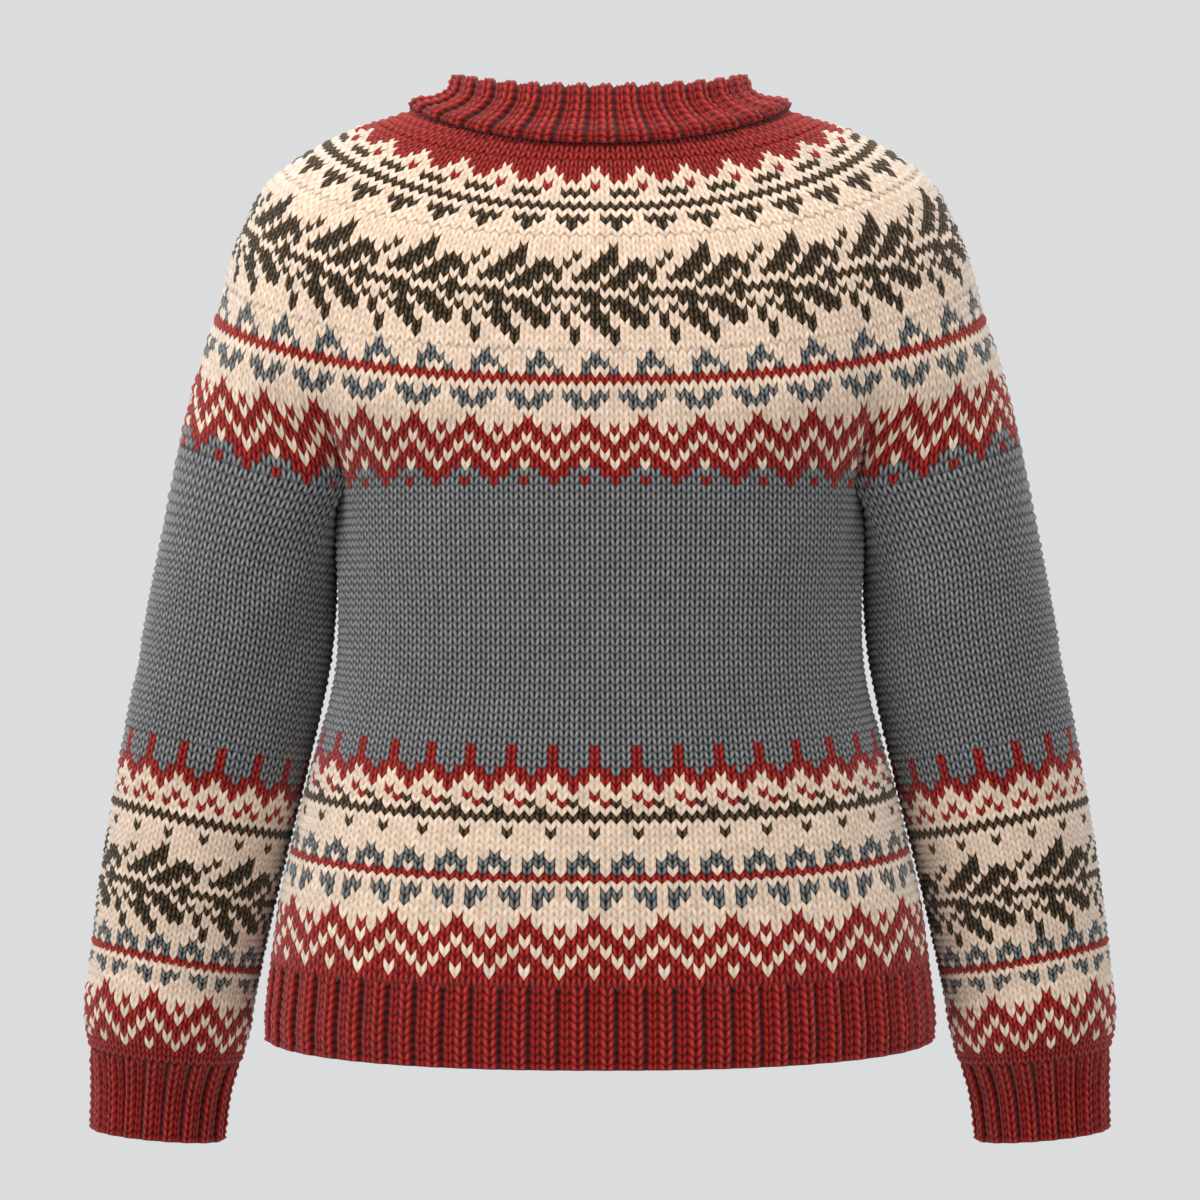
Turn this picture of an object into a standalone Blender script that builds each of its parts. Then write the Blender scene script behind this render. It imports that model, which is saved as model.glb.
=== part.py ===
"""Fair isle yoke cardigan, filled out as if worn, buttoned from hem to neck.

Metres, +Z up. The front faces -Y and +X is the wearer's left. The origin is at
the base of the neck, level with the top of the shoulders, where the wearer
carries the garment. Body, yoke and sleeves are knitted walls, and the collar,
hem, cuffs and button bands are ribbing.

Rings of the body and yoke run from the right front edge round the back to the
left front edge. A place on a ring is its share of the ring's length: 0 at the
centre back, 0.5 at the left front edge.
"""

import math

import bmesh
import bpy
import numpy as np

MM = 0.001

# Cloth
WALL = 3.5 * MM  # stranded wool, one layer
RIB_WALL = 3.4 * MM
SEAM = 0.3 * MM  # gap kept where two pieces are joined
ROUNDNESS = 2.3  # exponent of the flattened ovals, 2 is an ellipse
SADDLE = 1.3  # how quickly a yoke ring climbs from back and front to the shoulder

# Stitches, which set where the pieces meet
BACK_STITCHES = 60
FRONT_STITCHES = 27  # each front, up to its band
UNDERARM_STITCHES = 15
OVER_ARM_STITCHES = 48
BODY_STITCHES = BACK_STITCHES + 2 * (FRONT_STITCHES + UNDERARM_STITCHES)
YOKE_STITCHES = BACK_STITCHES + 2 * (FRONT_STITCHES + OVER_ARM_STITCHES)
SLEEVE_STITCHES = UNDERARM_STITCHES + OVER_ARM_STITCHES

# Ribbing, two knit and two purl stitches to a rib
HEM_BACK_RIBS = 30
HEM_FRONT_RIBS = 13
CUFF_RIBS = 14
COLLAR_RIBS = 36
BAND_RIBS = 36
RIB_CORNERS = (0.06, 0.44, 0.56, 0.94)  # as shares of a rib, two raised and two sunk
BAND_CORNERS = (0.25, 0.75)
RIB_RAISE = 0.5 * MM
RIB_SINK = 0.9 * MM

# Button bands, the wearer's right over left
BAND_HALF = 16.0 * MM
OVERLAP = 3.0 * MM  # of the upper band onto its own front
BAND_WALL = 3.0 * MM
BAND_CLEAR = 1.0 * MM  # clear of the raised ribs beneath
BUTTONS = 7
BUTTON_RADIUS = 9.5 * MM
BUTTON_THICK = 3.6 * MM
BUTTON_SIDES = 12
BUTTON_PROFILE = dict(radius=[0, 0.92, 1, 0.97, 0.86, 0.7, 0], height=[0, 0, 0.35, 0.8, 1, 0.78, 0.7])
BUTTON_LOWEST = 0.035  # as a share of the front's length
BUTTON_HIGHEST = 0.93

# Body ovals, in mm: height, half width, depth behind and in front of the middle,
# and how far their sides stand above the middle
BODY = dict(
    height=[-599, -588, -562, -536, -510, -484, -458, -432, -406, -380, -354, -328, -276, -234.7],
    half_width=[215, 215.8, 213.5, 210.5, 206.5, 200, 194, 187.5, 180.7, 174, 169.8, 168.5, 169.5, 170.3],
    back=[116, 116.5, 117, 117, 117, 117, 116, 115, 115, 114, 114, 114, 115.5, 117],
    front=[115, 115.5, 116, 116, 116.5, 117, 116.5, 116, 116, 116.5, 117, 118, 120, 121],
    rise=[7, 7, 6.5, 6.5, 9, 12, 12, 11, 9, 7, 4, 2, 0, 0],
)
HEM_BOTTOM = -599 * MM
HEM_TOP = -545 * MM
UNDERARM = -234.7 * MM
BODY_LEVELS = 9  # rings of each body panel
NEARBY = 0.006  # share of a ring over which its direction is taken
BODY_ROUND = 920 * MM  # length of a body ring from front edge to front edge
NECK_ROUND = 600 * MM  # the same at the top of the yoke
SAMPLES = 720  # points by which half a ring, or a whole sleeve oval, is measured

# Yoke rings above the underarm, in mm: height at the back and over the shoulder,
# half width, depth behind and in front of the middle, and depth of the crease
# between sleeve and body
YOKE = dict(
    back_height=[-189, -169.7, -148, -117, -86.5, -61.8, -20, 0.6],
    side_height=[-146, -121.6, -93, -64, -33, -10.4, 6.5, 16.5],
    half_width=[256, 247.7, 240, 229.5, 210.6, 176, 129.4, 97.5],
    back=[119, 119, 117.5, 113.5, 105, 93, 73, 60],
    front=[121, 119, 116, 110, 102, 94, 81, 72],
    crease=[11, 6, 2, 0, 0, 0, 0, 0],
)
YOKE_TOP = 0.6 * MM  # at the back
BELOW = 41.3 * MM  # how far under the underarm the yoke's slope is taken from
YOKE_LEVELS = 10
FRONT_DROP = 0.84  # the front of the yoke has this share of the back's height
CREASE_WIDTH = 5.0  # in stitches, to either side
STITCHES_A_COLUMN = 3

# Sleeve, in mm: centre, half width and depth of its ovals below the underarm,
# and their lean from the level in degrees
SLEEVE = dict(
    x=[227.5, 234.5, 250.3, 267, 280.8, 284.4, 285.2],
    y=[-1, -4, -9, -15, -21, -23, -24],
    z=[-276, -328, -406, -484, -562, -588, -603],
    half_width=[57, 60.5, 59.8, 57.2, 54, 53, 49.5],
    half_depth=[62, 60.5, 56.5, 53, 48.5, 47, 42],
    lean=[11.3, 11.3, 11.3, 11, 9.5, 7.5, 6.5],
)
SLEEVE_OUTER = 271 * MM  # how far out it reaches level with the underarm
SLEEVE_DEPTH = 64 * MM
SLEEVE_RISE = 30 * MM  # of its top edge, from the crease to the outside
SLEEVE_CLIMB = 1.6  # how late it rises
OVER_ARM_SAMPLES = 400
CUFF = dict(
    x=[285.3, 287.9, 291.2],
    y=[-24.1, -26.3, -29],
    z=[-604, -622, -659.5],
    half_width=[48.5, 45.5, 43],
    half_depth=[40, 33, 30],
    lean=[6.5, 6.1, 5.5],
)

# Folded collar, in mm: its fold line, then how its turned-down half lies
FOLD = dict(half_width=91.5, back=53.5, front=66, back_height=20, side_height=32.5, front_height=-13)
COLLAR_WALL = 3.2 * MM
COLLAR_REACH = 0.905  # share of the yoke's height where the turned-down edge lies, at the back
SIDE_REACH = 0.935  # and over the shoulders
COLLAR_CLEAR = 0.6 * MM
COLLAR_FLARE = 1.5 * MM  # of its rolled edge
COLLAR_END = 4 * MM  # from the centre front
COLLAR_NECK = 2 * MM  # how far its leaf stands off the neckline
FOLD_OUT = dict(out=0.7, down=0.3)  # its fold's outer and inner side, in walls from the fold line
FOLD_IN = dict(out=0.8, down=0.5, under=1.6)
OVER_BAND = 46 * MM  # from the centre front, where the collar starts to rise over the bands
OVER_BAND_RAMP = 22 * MM
BAND_LIFT = BAND_WALL + BAND_CLEAR + RIB_RAISE  # over the upper band

# Yarns and buttons, as linear colours
COLOURS = dict(
    cream=(0.76, 0.62, 0.48),
    red=(0.36, 0.030, 0.024),
    horn=(0.075, 0.035, 0.018),
)


def material(name):
    if name in bpy.data.materials:
        return bpy.data.materials[name]
    made = bpy.data.materials.new(name)
    made.use_nodes = True
    shader = made.node_tree.nodes["Principled BSDF"]
    shader.inputs["Base Color"].default_value = (*COLOURS[name], 1)
    shader.inputs["Roughness"].default_value = 0.35 if name == "horn" else 0.95
    shader.inputs["Metallic"].default_value = 0
    return made


def through(knots, values, at):
    """Smooth curve through values at knots, read at several places."""
    knots, values, at = np.asarray(knots, float), np.asarray(values, float), np.atleast_1d(at)
    rest = (1,) * (values.ndim - 1)
    step = np.diff(knots)
    slope = np.diff(values, axis=0) / step.reshape((-1,) + rest)
    near, far = step[:-1].reshape((-1,) + rest), step[1:].reshape((-1,) + rest)
    middle = (slope[1:] * near + slope[:-1] * far) / (near + far)
    lean = np.concatenate([slope[:1], middle, slope[-1:]])
    i = np.clip(np.searchsorted(knots, at, "right") - 1, 0, len(step) - 1)
    h = step[i].reshape((-1,) + rest)
    u = ((at - knots[i]) / step[i]).reshape((-1,) + rest)
    start = values[i] * (2 * u**3 - 3 * u**2 + 1) + lean[i] * h * (u**3 - 2 * u**2 + u)
    return start + values[i + 1] * (3 * u**2 - 2 * u**3) + lean[i + 1] * h * (u**3 - u**2)


def oval(turn, half_width, back, front, back_height, side_height, front_height):
    """Points of a flattened oval: turn 0 is the centre back, a half turn the centre front."""
    s, c = np.sin(turn), np.cos(turn)
    end_height = np.where(c >= 0, back_height, front_height)
    x = half_width * np.sign(s) * np.abs(s) ** (2 / ROUNDNESS)
    y = np.where(c >= 0, back, -front) * np.abs(c) ** (2 / ROUNDNESS)
    z = side_height + np.abs(c) ** SADDLE * (end_height - side_height)
    return np.stack([x, y, z], axis=1)


def front_turn(x, half_width):
    """The turn at which an oval's front half is x from the middle."""
    return math.copysign(math.pi - math.asin((abs(x) / half_width) ** (ROUNDNESS / 2)), x)


def along(points, shares):
    """Points at shares of a line's length, -0.5 and 0.5 at its ends."""
    steps = np.linalg.norm(np.diff(points, axis=0), axis=1)
    run = np.concatenate([[0], np.cumsum(steps)])
    run = run / run[-1] - 0.5
    return np.stack([np.interp(shares, run, points[:, k]) for k in range(3)], axis=1)


def ring(sizes, shares, edge=BAND_HALF):
    """An oval from one front edge to the other, at shares of its length."""
    end = front_turn(edge, sizes[0])
    return along(oval(np.linspace(-end, end, 2 * SAMPLES + 1), *sizes), shares)


def body_sizes(height):
    width, back, front, rise = (
        through(np.array(BODY["height"]) * MM, np.array(BODY[k]) * MM, height)[0]
        for k in ("half_width", "back", "front", "rise")
    )
    return width, back, front, height, height + rise, height


def yoke_sizes(i):
    width, back, front, back_height, side_height = (
        YOKE[k][i] * MM for k in ("half_width", "back", "front", "back_height", "side_height")
    )
    front_height = UNDERARM + (back_height - UNDERARM) * FRONT_DROP
    return width, back, front, back_height, side_height, front_height


def yoke_knots():
    """A ring below the underarm, the underarm and each yoke ring, as shares of the yoke's height."""
    heights = np.array([UNDERARM - BELOW, UNDERARM] + [h * MM for h in YOKE["back_height"]])
    return (heights - UNDERARM) / (YOKE_TOP - UNDERARM)


def over_arm(crease, shares):
    """The sleeve's top edge from the outermost point, share 0, to a crease, share 1."""
    depth = SLEEVE_DEPTH
    start = math.acos(min(1, abs(crease[1]) / depth) ** (ROUNDNESS / 2))
    power = 2 / ROUNDNESS
    half_width = (SLEEVE_OUTER - crease[0]) / (1 + math.sin(start) ** power)
    turn = np.linspace(math.pi / 2, -start, OVER_ARM_SAMPLES)
    x = SLEEVE_OUTER - half_width + half_width * np.sign(np.sin(turn)) * np.abs(np.sin(turn)) ** power
    y = math.copysign(depth, crease[1]) * np.abs(np.cos(turn)) ** power
    out = (x - crease[0]) / (SLEEVE_OUTER - crease[0])
    z = UNDERARM + SLEEVE_RISE * np.maximum(0, out) ** SLEEVE_CLIMB
    return along(np.stack([x, y, z], axis=1), np.asarray(shares) - 0.5)


def crease_shares():
    """Shares of the body ring at the creases behind and in front of the left arm."""
    behind = BACK_STITCHES / 2 / BODY_STITCHES
    return behind, behind + UNDERARM_STITCHES / BODY_STITCHES


def sleeve_top(shares):
    """The left sleeve's top edge: over the arm it carries the yoke, under it the body's side.

    Share 0 is the outermost point and 0.5 the innermost, by the back.
    """
    behind, before = crease_shares()
    creases = ring(body_sizes(UNDERARM), [behind, before])
    over = OVER_ARM_STITCHES / 2 / SLEEVE_STITCHES
    points = []
    for share in (np.atleast_1d(shares) + 0.5) % 1 - 0.5:
        side = 0 if share > 0 else 1
        if abs(share) <= over:
            points.append(over_arm(creases[side], [abs(share) / over])[0])
            continue
        inward = (abs(share) - over) / (0.5 - over) / 2
        place = behind + (before - behind) * (inward if side == 0 else 1 - inward)
        points.append(ring(body_sizes(UNDERARM), [place])[0] + [SEAM, 0, 0])
    return np.array(points)


def dividing_ring(shares, below=0.0):
    """The yoke's lowest ring, across back and fronts and over both arms, or one below it."""
    behind, before = crease_shares()
    body = body_sizes(UNDERARM - below)
    points = []
    for share in np.atleast_1d(shares):
        n = abs(share) * YOKE_STITCHES
        from_arm = n - BACK_STITCHES / 2
        round_arm = np.array([(OVER_ARM_STITCHES / 2 - from_arm) / SLEEVE_STITCHES])
        if from_arm <= 0:
            point = ring(body, [n / BODY_STITCHES])[0]
        elif from_arm >= OVER_ARM_STITCHES:
            point = ring(body, [before + (from_arm - OVER_ARM_STITCHES) / BODY_STITCHES])[0]
        else:
            point = (sleeve_oval(SLEEVE, 0, round_arm) if below else sleeve_top(round_arm))[0]
        points.append(point * [1 if share >= 0 else -1, 1, 1])
    return np.array(points)


def yoke_points(levels, shares):
    """Outer points of the yoke, a row for each level from 0 at the underarm to 1 at the neck."""
    shares = np.asarray(shares)
    rings = [dividing_ring(shares, BELOW), dividing_ring(shares)]
    stitch = np.abs(shares) * YOKE_STITCHES
    arm = BACK_STITCHES / 2
    for i, depth in enumerate(YOKE["crease"]):
        points = ring(yoke_sizes(i), shares)
        for middle, side in ((arm, -1), (arm + OVER_ARM_STITCHES, 1)):
            points[:, 1] += side * depth * MM * np.exp(-(((stitch - middle) / CREASE_WIDTH) ** 2))
        rings.append(points)
    return through(yoke_knots(), np.array(rings), levels)


def body_points(heights, shares):
    return np.array([ring(body_sizes(height), shares) for height in heights])


def sleeve_oval(section, i, shares):
    """Points round a leaning oval of the left sleeve, 0 at its outermost point."""
    turn = np.linspace(-math.pi, math.pi, SAMPLES + 1)
    across = section["half_width"][i] * np.cos(turn)
    deep = section["half_depth"][i] * np.sin(turn)
    lean = math.radians(section["lean"][i])
    x = section["x"][i] + across * math.cos(lean)
    z = section["z"][i] + across * math.sin(lean)
    return along(np.stack([x, section["y"][i] + deep, z], axis=1) * MM, (shares + 0.5) % 1 - 0.5)


def sleeve_rings(section, shares):
    return [sleeve_oval(section, i, shares) for i in range(len(section["z"]))]


def outward(surface, shares, turn=1, level_rows=()):
    """Unit normals of a surface at shares of its rings. Those of level rows are kept level."""
    across = surface(shares + NEARBY) - surface(shares - NEARBY)
    normals = np.cross(np.gradient(surface(shares), axis=0), across) * turn
    for row in level_rows:
        normals[row] = np.cross([0, 0, 1], across[row]) * turn
    return normals / np.linalg.norm(normals, axis=2, keepdims=True)


def add_object(name, verts, faces, colour):
    mesh = bpy.data.meshes.new(name)
    mesh.from_pydata([tuple(v) for v in verts], [], faces)
    shaped = bmesh.new()
    shaped.from_mesh(mesh)
    bmesh.ops.recalc_face_normals(shaped, faces=shaped.faces)
    bmesh.ops.triangulate(shaped, faces=shaped.faces, quad_method="FIXED")
    shaped.to_mesh(mesh)
    shaped.free()
    return finish_object(name, mesh, colour)


def finish_object(name, mesh, colour):
    mesh.shade_smooth()
    mesh.set_sharp_from_angle(angle=math.radians(50))
    mesh.materials.append(material(colour))
    made = bpy.data.objects.new(name, mesh)
    bpy.context.collection.objects.link(made)
    return made


def mirrored(points):
    """A grid for the wearer's other side, with its columns still turning the same way."""
    return points[:, ::-1] * np.array([-1, 1, 1])


def sections_object(name, sections, colour):
    """A solid through a row of closed sections, with its ends filled."""
    sections = np.array(sections)
    count, size = sections.shape[:2]
    faces = []
    for i in range(count - 1):
        for j in range(size):
            k = (j + 1) % size
            faces.append((i * size + j, i * size + k, (i + 1) * size + k, (i + 1) * size + j))
    faces.append(tuple(range(size)))
    faces.append(tuple((count - 1) * size + j for j in reversed(range(size))))
    return add_object(name, sections.reshape(-1, 3), faces, colour)


def wall_object(name, outer, inner, colour, closed=False):
    """A wall between two grids: each column is a section, up outside and down inside."""
    sections = [np.concatenate([outer[:, j], inner[::-1, j]]) for j in range(outer.shape[1])]
    rows = outer.shape[0]
    count, size = len(sections), 2 * rows
    faces = []
    for i in range(count if closed else count - 1):
        k = (i + 1) % count
        for j in range(size):
            n = (j + 1) % size
            faces.append((i * size + j, i * size + n, k * size + n, k * size + j))
    if not closed:
        for i in (0, count - 1):
            for j in range(rows - 1):
                faces.append(tuple(i * size + n for n in (j, j + 1, size - 2 - j, size - 1 - j)))
    return add_object(name, np.concatenate(sections), faces, colour)


def rib_places(ribs, loop=False, corners=RIB_CORNERS):
    """Where a rib's corners lie along a strip of so many ribs, and how far each stands out."""
    places = (np.arange(ribs)[:, None] + corners).ravel() / ribs
    half = len(corners) // 2
    relief = np.tile([RIB_RAISE] * half + [-RIB_SINK] * half, ribs)
    if not loop:
        places[0], places[-1] = 0, 1
    return places, relief


def seam_share(length):
    """Half a seam's gap, as a share of a line of this length."""
    return SEAM / 2 / length


def make_panel(name, start, end):
    """A body panel between two shares of the body's rings."""
    shares = np.linspace(start, end, round((end - start) * BODY_STITCHES / STITCHES_A_COLUMN) + 1)
    heights = np.linspace(HEM_TOP + SEAM / 2, UNDERARM - SEAM / 2, BODY_LEVELS)
    outer = body_points(heights, shares)
    normals = outward(lambda at: body_points(heights, at), shares, level_rows=range(BODY_LEVELS))
    wall_object(name, outer, outer - normals * WALL, "cream")


def make_hem(name, start, end, ribs):
    places, relief = rib_places(ribs)
    shares = start + (end - start) * places
    heights = [HEM_BOTTOM, HEM_TOP - SEAM / 2]
    outer = body_points(heights, shares)
    normals = outward(lambda at: body_points(heights, at), shares, level_rows=(0, 1))
    wall_object(name, outer + normals * relief[:, None], outer - normals * RIB_WALL, "red")


def make_body():
    gap = seam_share(BODY_ROUND)
    edge = 0.5 - 2 * gap
    make_panel("back", -0.25 + gap, 0.25 - gap)
    make_panel("front_left", 0.25 + gap, edge)
    make_panel("front_right", -edge, -0.25 - gap)
    make_hem("hem_back", -0.25 + gap, 0.25 - gap, HEM_BACK_RIBS)
    make_hem("hem_front_left", 0.25 + gap, edge, HEM_FRONT_RIBS)
    make_hem("hem_front_right", -edge, -0.25 - gap, HEM_FRONT_RIBS)


def make_yoke():
    stitches = np.arange(0, YOKE_STITCHES // 2, STITCHES_A_COLUMN)
    edge = 0.5 - 2 * seam_share(NECK_ROUND)
    half = np.concatenate([stitches[1:] / YOKE_STITCHES, [edge]])
    shares = np.concatenate([-half[::-1], [0], half])
    levels = np.linspace(0, 1, YOKE_LEVELS)
    normals = outward(lambda at: yoke_points(levels, at), shares, level_rows=(0,))
    outer = yoke_points(levels, shares)
    outer[0, :, 2] += SEAM / 2
    wall_object("yoke", outer, outer - normals * WALL, "cream")


def make_sleeves():
    def sleeve(shares):
        return np.array([sleeve_top(shares) - [0, 0, SEAM / 2]] + sleeve_rings(SLEEVE, shares))[::-1]

    def cuff(shares):
        return np.array(sleeve_rings(CUFF, shares))[::-1]

    columns = SLEEVE_STITCHES // STITCHES_A_COLUMN
    shares = (np.arange(columns) - columns // 2) / columns
    outer = sleeve(shares)
    inner = outer - outward(sleeve, shares, -1, range(len(outer))) * WALL
    wall_object("sleeve_left", outer, inner, "cream", closed=True)
    wall_object("sleeve_right", mirrored(outer), mirrored(inner), "cream", closed=True)

    places, relief = rib_places(CUFF_RIBS, loop=True)
    shares = places - 0.5
    plain = cuff(shares)
    normals = outward(cuff, shares, -1, range(len(plain)))
    outer = plain + normals * relief[:, None]
    inner = plain - normals * RIB_WALL
    wall_object("cuff_left", outer, inner, "red", closed=True)
    wall_object("cuff_right", mirrored(outer), mirrored(inner), "red", closed=True)


def front_points(xs, shares):
    """Outer points down the centre front at distances x, share 0 at the hem and 1 at the neck."""
    columns = []
    sizes = [body_sizes(height * MM) for height in BODY["height"]]
    sizes += [yoke_sizes(i) for i in range(len(YOKE["crease"]))]
    for x in xs:
        turns = [front_turn(x, size[0]) for size in sizes]
        points = np.array([oval(np.array([t]), *size)[0] for t, size in zip(turns, sizes)])
        steps = np.linalg.norm(np.diff(points, axis=0), axis=1)
        run = np.concatenate([[0], np.cumsum(steps)]) / steps.sum()
        columns.append(through(run, points, shares))
    return np.stack(columns, axis=1)


def make_band(name, start, end, lift):
    """A strip of ribbing up the centre front, its ribs lying across it."""
    rows, relief = rib_places(BAND_RIBS, corners=BAND_CORNERS)
    xs = np.array([start, end])
    outer = front_points(xs, rows)
    across = front_points(xs - 1 * MM, rows) - front_points(xs + 1 * MM, rows)
    normals = np.cross(np.gradient(outer, axis=0), across)
    normals /= np.linalg.norm(normals, axis=2, keepdims=True)
    raised = outer + normals * (lift + relief[:, None, None])
    wall_object(name, raised, outer + normals * (lift - BAND_WALL), "red")


def make_bands():
    gap = SEAM / 2
    make_band("band_left", BAND_HALF - gap, -BAND_HALF + gap, -RIB_RAISE)
    make_band("band_right", BAND_HALF - gap, -BAND_HALF - OVERLAP, BAND_WALL + BAND_CLEAR)


def make_button(name, share):
    """A turned button with a raised rim, laid on the upper band."""
    profile = zip(BUTTON_PROFILE["radius"], BUTTON_PROFILE["height"])
    shaped = bmesh.new()
    verts = [shaped.verts.new((r * BUTTON_RADIUS, 0, h * BUTTON_THICK)) for r, h in profile]
    edges = [shaped.edges.new(pair) for pair in zip(verts, verts[1:])]
    bmesh.ops.spin(
        shaped,
        geom=verts + edges,
        cent=(0, 0, 0),
        axis=(0, 0, 1),
        angle=2 * math.pi,
        steps=BUTTON_SIDES,
    )
    bmesh.ops.remove_doubles(shaped, verts=shaped.verts, dist=0.01 * MM)
    bmesh.ops.recalc_face_normals(shaped, faces=shaped.faces)
    mesh = bpy.data.meshes.new(name)
    shaped.to_mesh(mesh)
    shaped.free()
    made = finish_object(name, mesh, "horn")

    step = 0.002
    near = front_points([0], [share - step, share, share + step])[:, 0]
    tangent = near[2] - near[0]
    normal = np.cross(tangent, [-1, 0, 0])
    normal /= np.linalg.norm(normal)
    lift = BAND_LIFT + 2 * SEAM
    made.rotation_euler = (math.atan2(-normal[1], normal[2]), 0, 0)
    made.location = tuple(near[1] + normal * lift)


def make_buttons():
    for i in range(BUTTONS):
        apart = (BUTTON_HIGHEST - BUTTON_LOWEST) / (BUTTONS - 1)
        make_button(f"button_{i + 1}", BUTTON_LOWEST + i * apart)


def make_collar():
    """Ribbing that stands up from the neckline, folds over and lies on the yoke."""
    places, relief = rib_places(COLLAR_RIBS)
    shares = places - 0.5

    def lie(at):
        side = np.sin(2 * math.pi * at)[:, None] ** 2
        behind, above = (yoke_points(np.linspace(k, 1, 4), at) for k in (COLLAR_REACH, SIDE_REACH))
        return behind + (above - behind) * side

    laid = lie(shares)
    normals = outward(lie, shares)
    fold = ring([FOLD[k] * MM for k in FOLD], shares, COLLAR_END)
    near_band = np.clip((OVER_BAND - np.abs(laid[:, :, 0])) / OVER_BAND_RAMP, 0, 1) * (laid[:, :, 1] < 0)
    lift = COLLAR_CLEAR + BAND_LIFT * near_band * near_band * (3 - 2 * near_band)
    level = normals[-1] * [1, 1, 0]
    level /= np.linalg.norm(level, axis=1, keepdims=True)
    up = np.array([0, 0, 1.0])
    wall, rise = COLLAR_WALL, relief[:, None]
    edge_in = laid[0] + normals[0] * (lift[0] + COLLAR_FLARE)[:, None]
    middle_in = laid[2] + normals[2] * lift[2][:, None]
    neck_in = laid[3] + normals[3] * (lift[3] + COLLAR_NECK)[:, None]
    sections = [
        edge_in + normals[0] * (wall + rise),
        neck_in + normals[3] * (wall + rise),
        fold + level * (FOLD_OUT["out"] * wall + rise) - up * FOLD_OUT["down"] * wall,
        fold - level * FOLD_IN["out"] * wall - up * FOLD_IN["down"] * wall,
        laid[3] - level * wall + up * SEAM,
        laid[3] + up * SEAM,
        fold - up * FOLD_IN["under"] * wall,
        neck_in,
        middle_in,
        edge_in,
    ]
    sections_object("collar", np.stack(sections, axis=1), "red")


def clear_scene():
    for old in list(bpy.data.objects):
        bpy.data.objects.remove(old, do_unlink=True)


clear_scene()
make_body()
make_yoke()
make_sleeves()
make_bands()
make_buttons()
make_collar()
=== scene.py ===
import math

import bmesh
import bpy
import numpy as np
from mathutils import Matrix, Vector


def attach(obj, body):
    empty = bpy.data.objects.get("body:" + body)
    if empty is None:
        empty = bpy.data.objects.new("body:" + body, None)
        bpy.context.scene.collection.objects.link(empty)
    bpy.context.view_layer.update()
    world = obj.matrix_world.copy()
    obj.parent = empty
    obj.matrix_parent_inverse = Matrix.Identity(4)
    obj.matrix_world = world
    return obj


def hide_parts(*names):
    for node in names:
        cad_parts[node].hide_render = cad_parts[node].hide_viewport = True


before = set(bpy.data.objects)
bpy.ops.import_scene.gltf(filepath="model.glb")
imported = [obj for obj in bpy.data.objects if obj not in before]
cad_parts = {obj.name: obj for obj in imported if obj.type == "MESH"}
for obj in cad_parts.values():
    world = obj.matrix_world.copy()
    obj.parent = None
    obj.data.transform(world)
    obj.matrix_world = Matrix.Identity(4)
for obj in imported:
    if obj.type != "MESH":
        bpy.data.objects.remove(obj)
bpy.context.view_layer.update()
mm = 0.001
dice = np.random.default_rng(11)


def linear(red, green, blue):
    # Colour picker values from 0 to 255, as the shader's linear light
    shares = np.array([red, green, blue]) / 255
    return np.where(shares <= 0.04045, shares / 12.92, ((shares + 0.055) / 1.055) ** 2.4)


# Yarn colours, by the letters that the charts use
yarns = dict(
    c=linear(249, 236, 223),  # cream
    r=linear(188, 62, 52),  # brick red
    g=linear(160, 161, 162),  # grey heather
    b=linear(144, 147, 148),  # blue grey, in the small motifs
    o=linear(106, 90, 64),  # olive brown
)

wool = dict(
    heather=0.5,  # how far the fleece varies from place to place
    stitchVaries=0.08,
    valleyShade=1.5,  # painted shade: how much deeper the colour is between the legs of the stitches
    hole=4.6,  # painted shade in the holes where four legs meet
    furrowShade=0.9,  # painted shade in the furrow between two ribs
    # painted shade over the recessed purl columns
    purl=0.25,
    legPower=1.8,  # the higher a power, the narrower the band of painted shade
    rowPower=4.0,
    holeLegPower=1.7,
    holeRowPower=2.1,
    furrowAt=0.965,  # share of a rib's width
    furrowFade=12.0,
    fleeceScale=420,
    fibreScale=1500,
    fibresInStitch=(5.0, 34.0, 1.0),  # across, along
    plyLean=2.4,
    pliesPerRow=2.0,
    plyHeight=0.22,
    fibreHeight=1.1,
    bump=0.65,
    bumpDepth=0.5 * mm,
    roughness=0.92,
    specular=0.25,
    sheen=0.22,
    sheenRoughness=0.45,
)

# The garment's form, the same sizes as the solid model's
garment = dict(
    wall=3.5 * mm,
    ribWall=3.4 * mm,
    seam=0.3 * mm,
    roundness=2.3,  # of the ovals, 2 is an ellipse
    saddle=1.3,  # how a ring climbs from the centre to the sides
    hemBottom=-599 * mm,
    hemTop=-545 * mm,
    underarm=-234.7 * mm,
    yokeTop=0.6 * mm,
    below=41.3 * mm,  # how far under the underarm the yoke's curve starts
    frontDrop=0.84,  # height of the yoke's front as a share of its back's
    creaseWidth=5.0,  # in stitches
    bandHalf=16 * mm,  # half the front opening, which the bands fill
    girth=0.92,
    neckGirth=0.6,
    lineSteps=dict(ring=1441, sleeve=721, arm=400),  # points on each line that stitches are set along
)
bodyOvals = dict(
    height=[-599, -588, -562, -536, -510, -484, -458, -432, -406, -380, -354, -328, -276, -234.7],
    halfWidth=[215, 215.8, 213.5, 210.5, 206.5, 200, 194, 187.5, 180.7, 174, 169.8, 168.5, 169.5, 170.3],
    back=[116, 116.5, 117, 117, 117, 117, 116, 115, 115, 114, 114, 114, 115.5, 117],
    front=[115, 115.5, 116, 116, 116.5, 117, 116.5, 116, 116, 116.5, 117, 118, 120, 121],
    rise=[7, 7, 6.5, 6.5, 9, 12, 12, 11, 9, 7, 4, 2, 0, 0],  # of the sides
)
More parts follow.
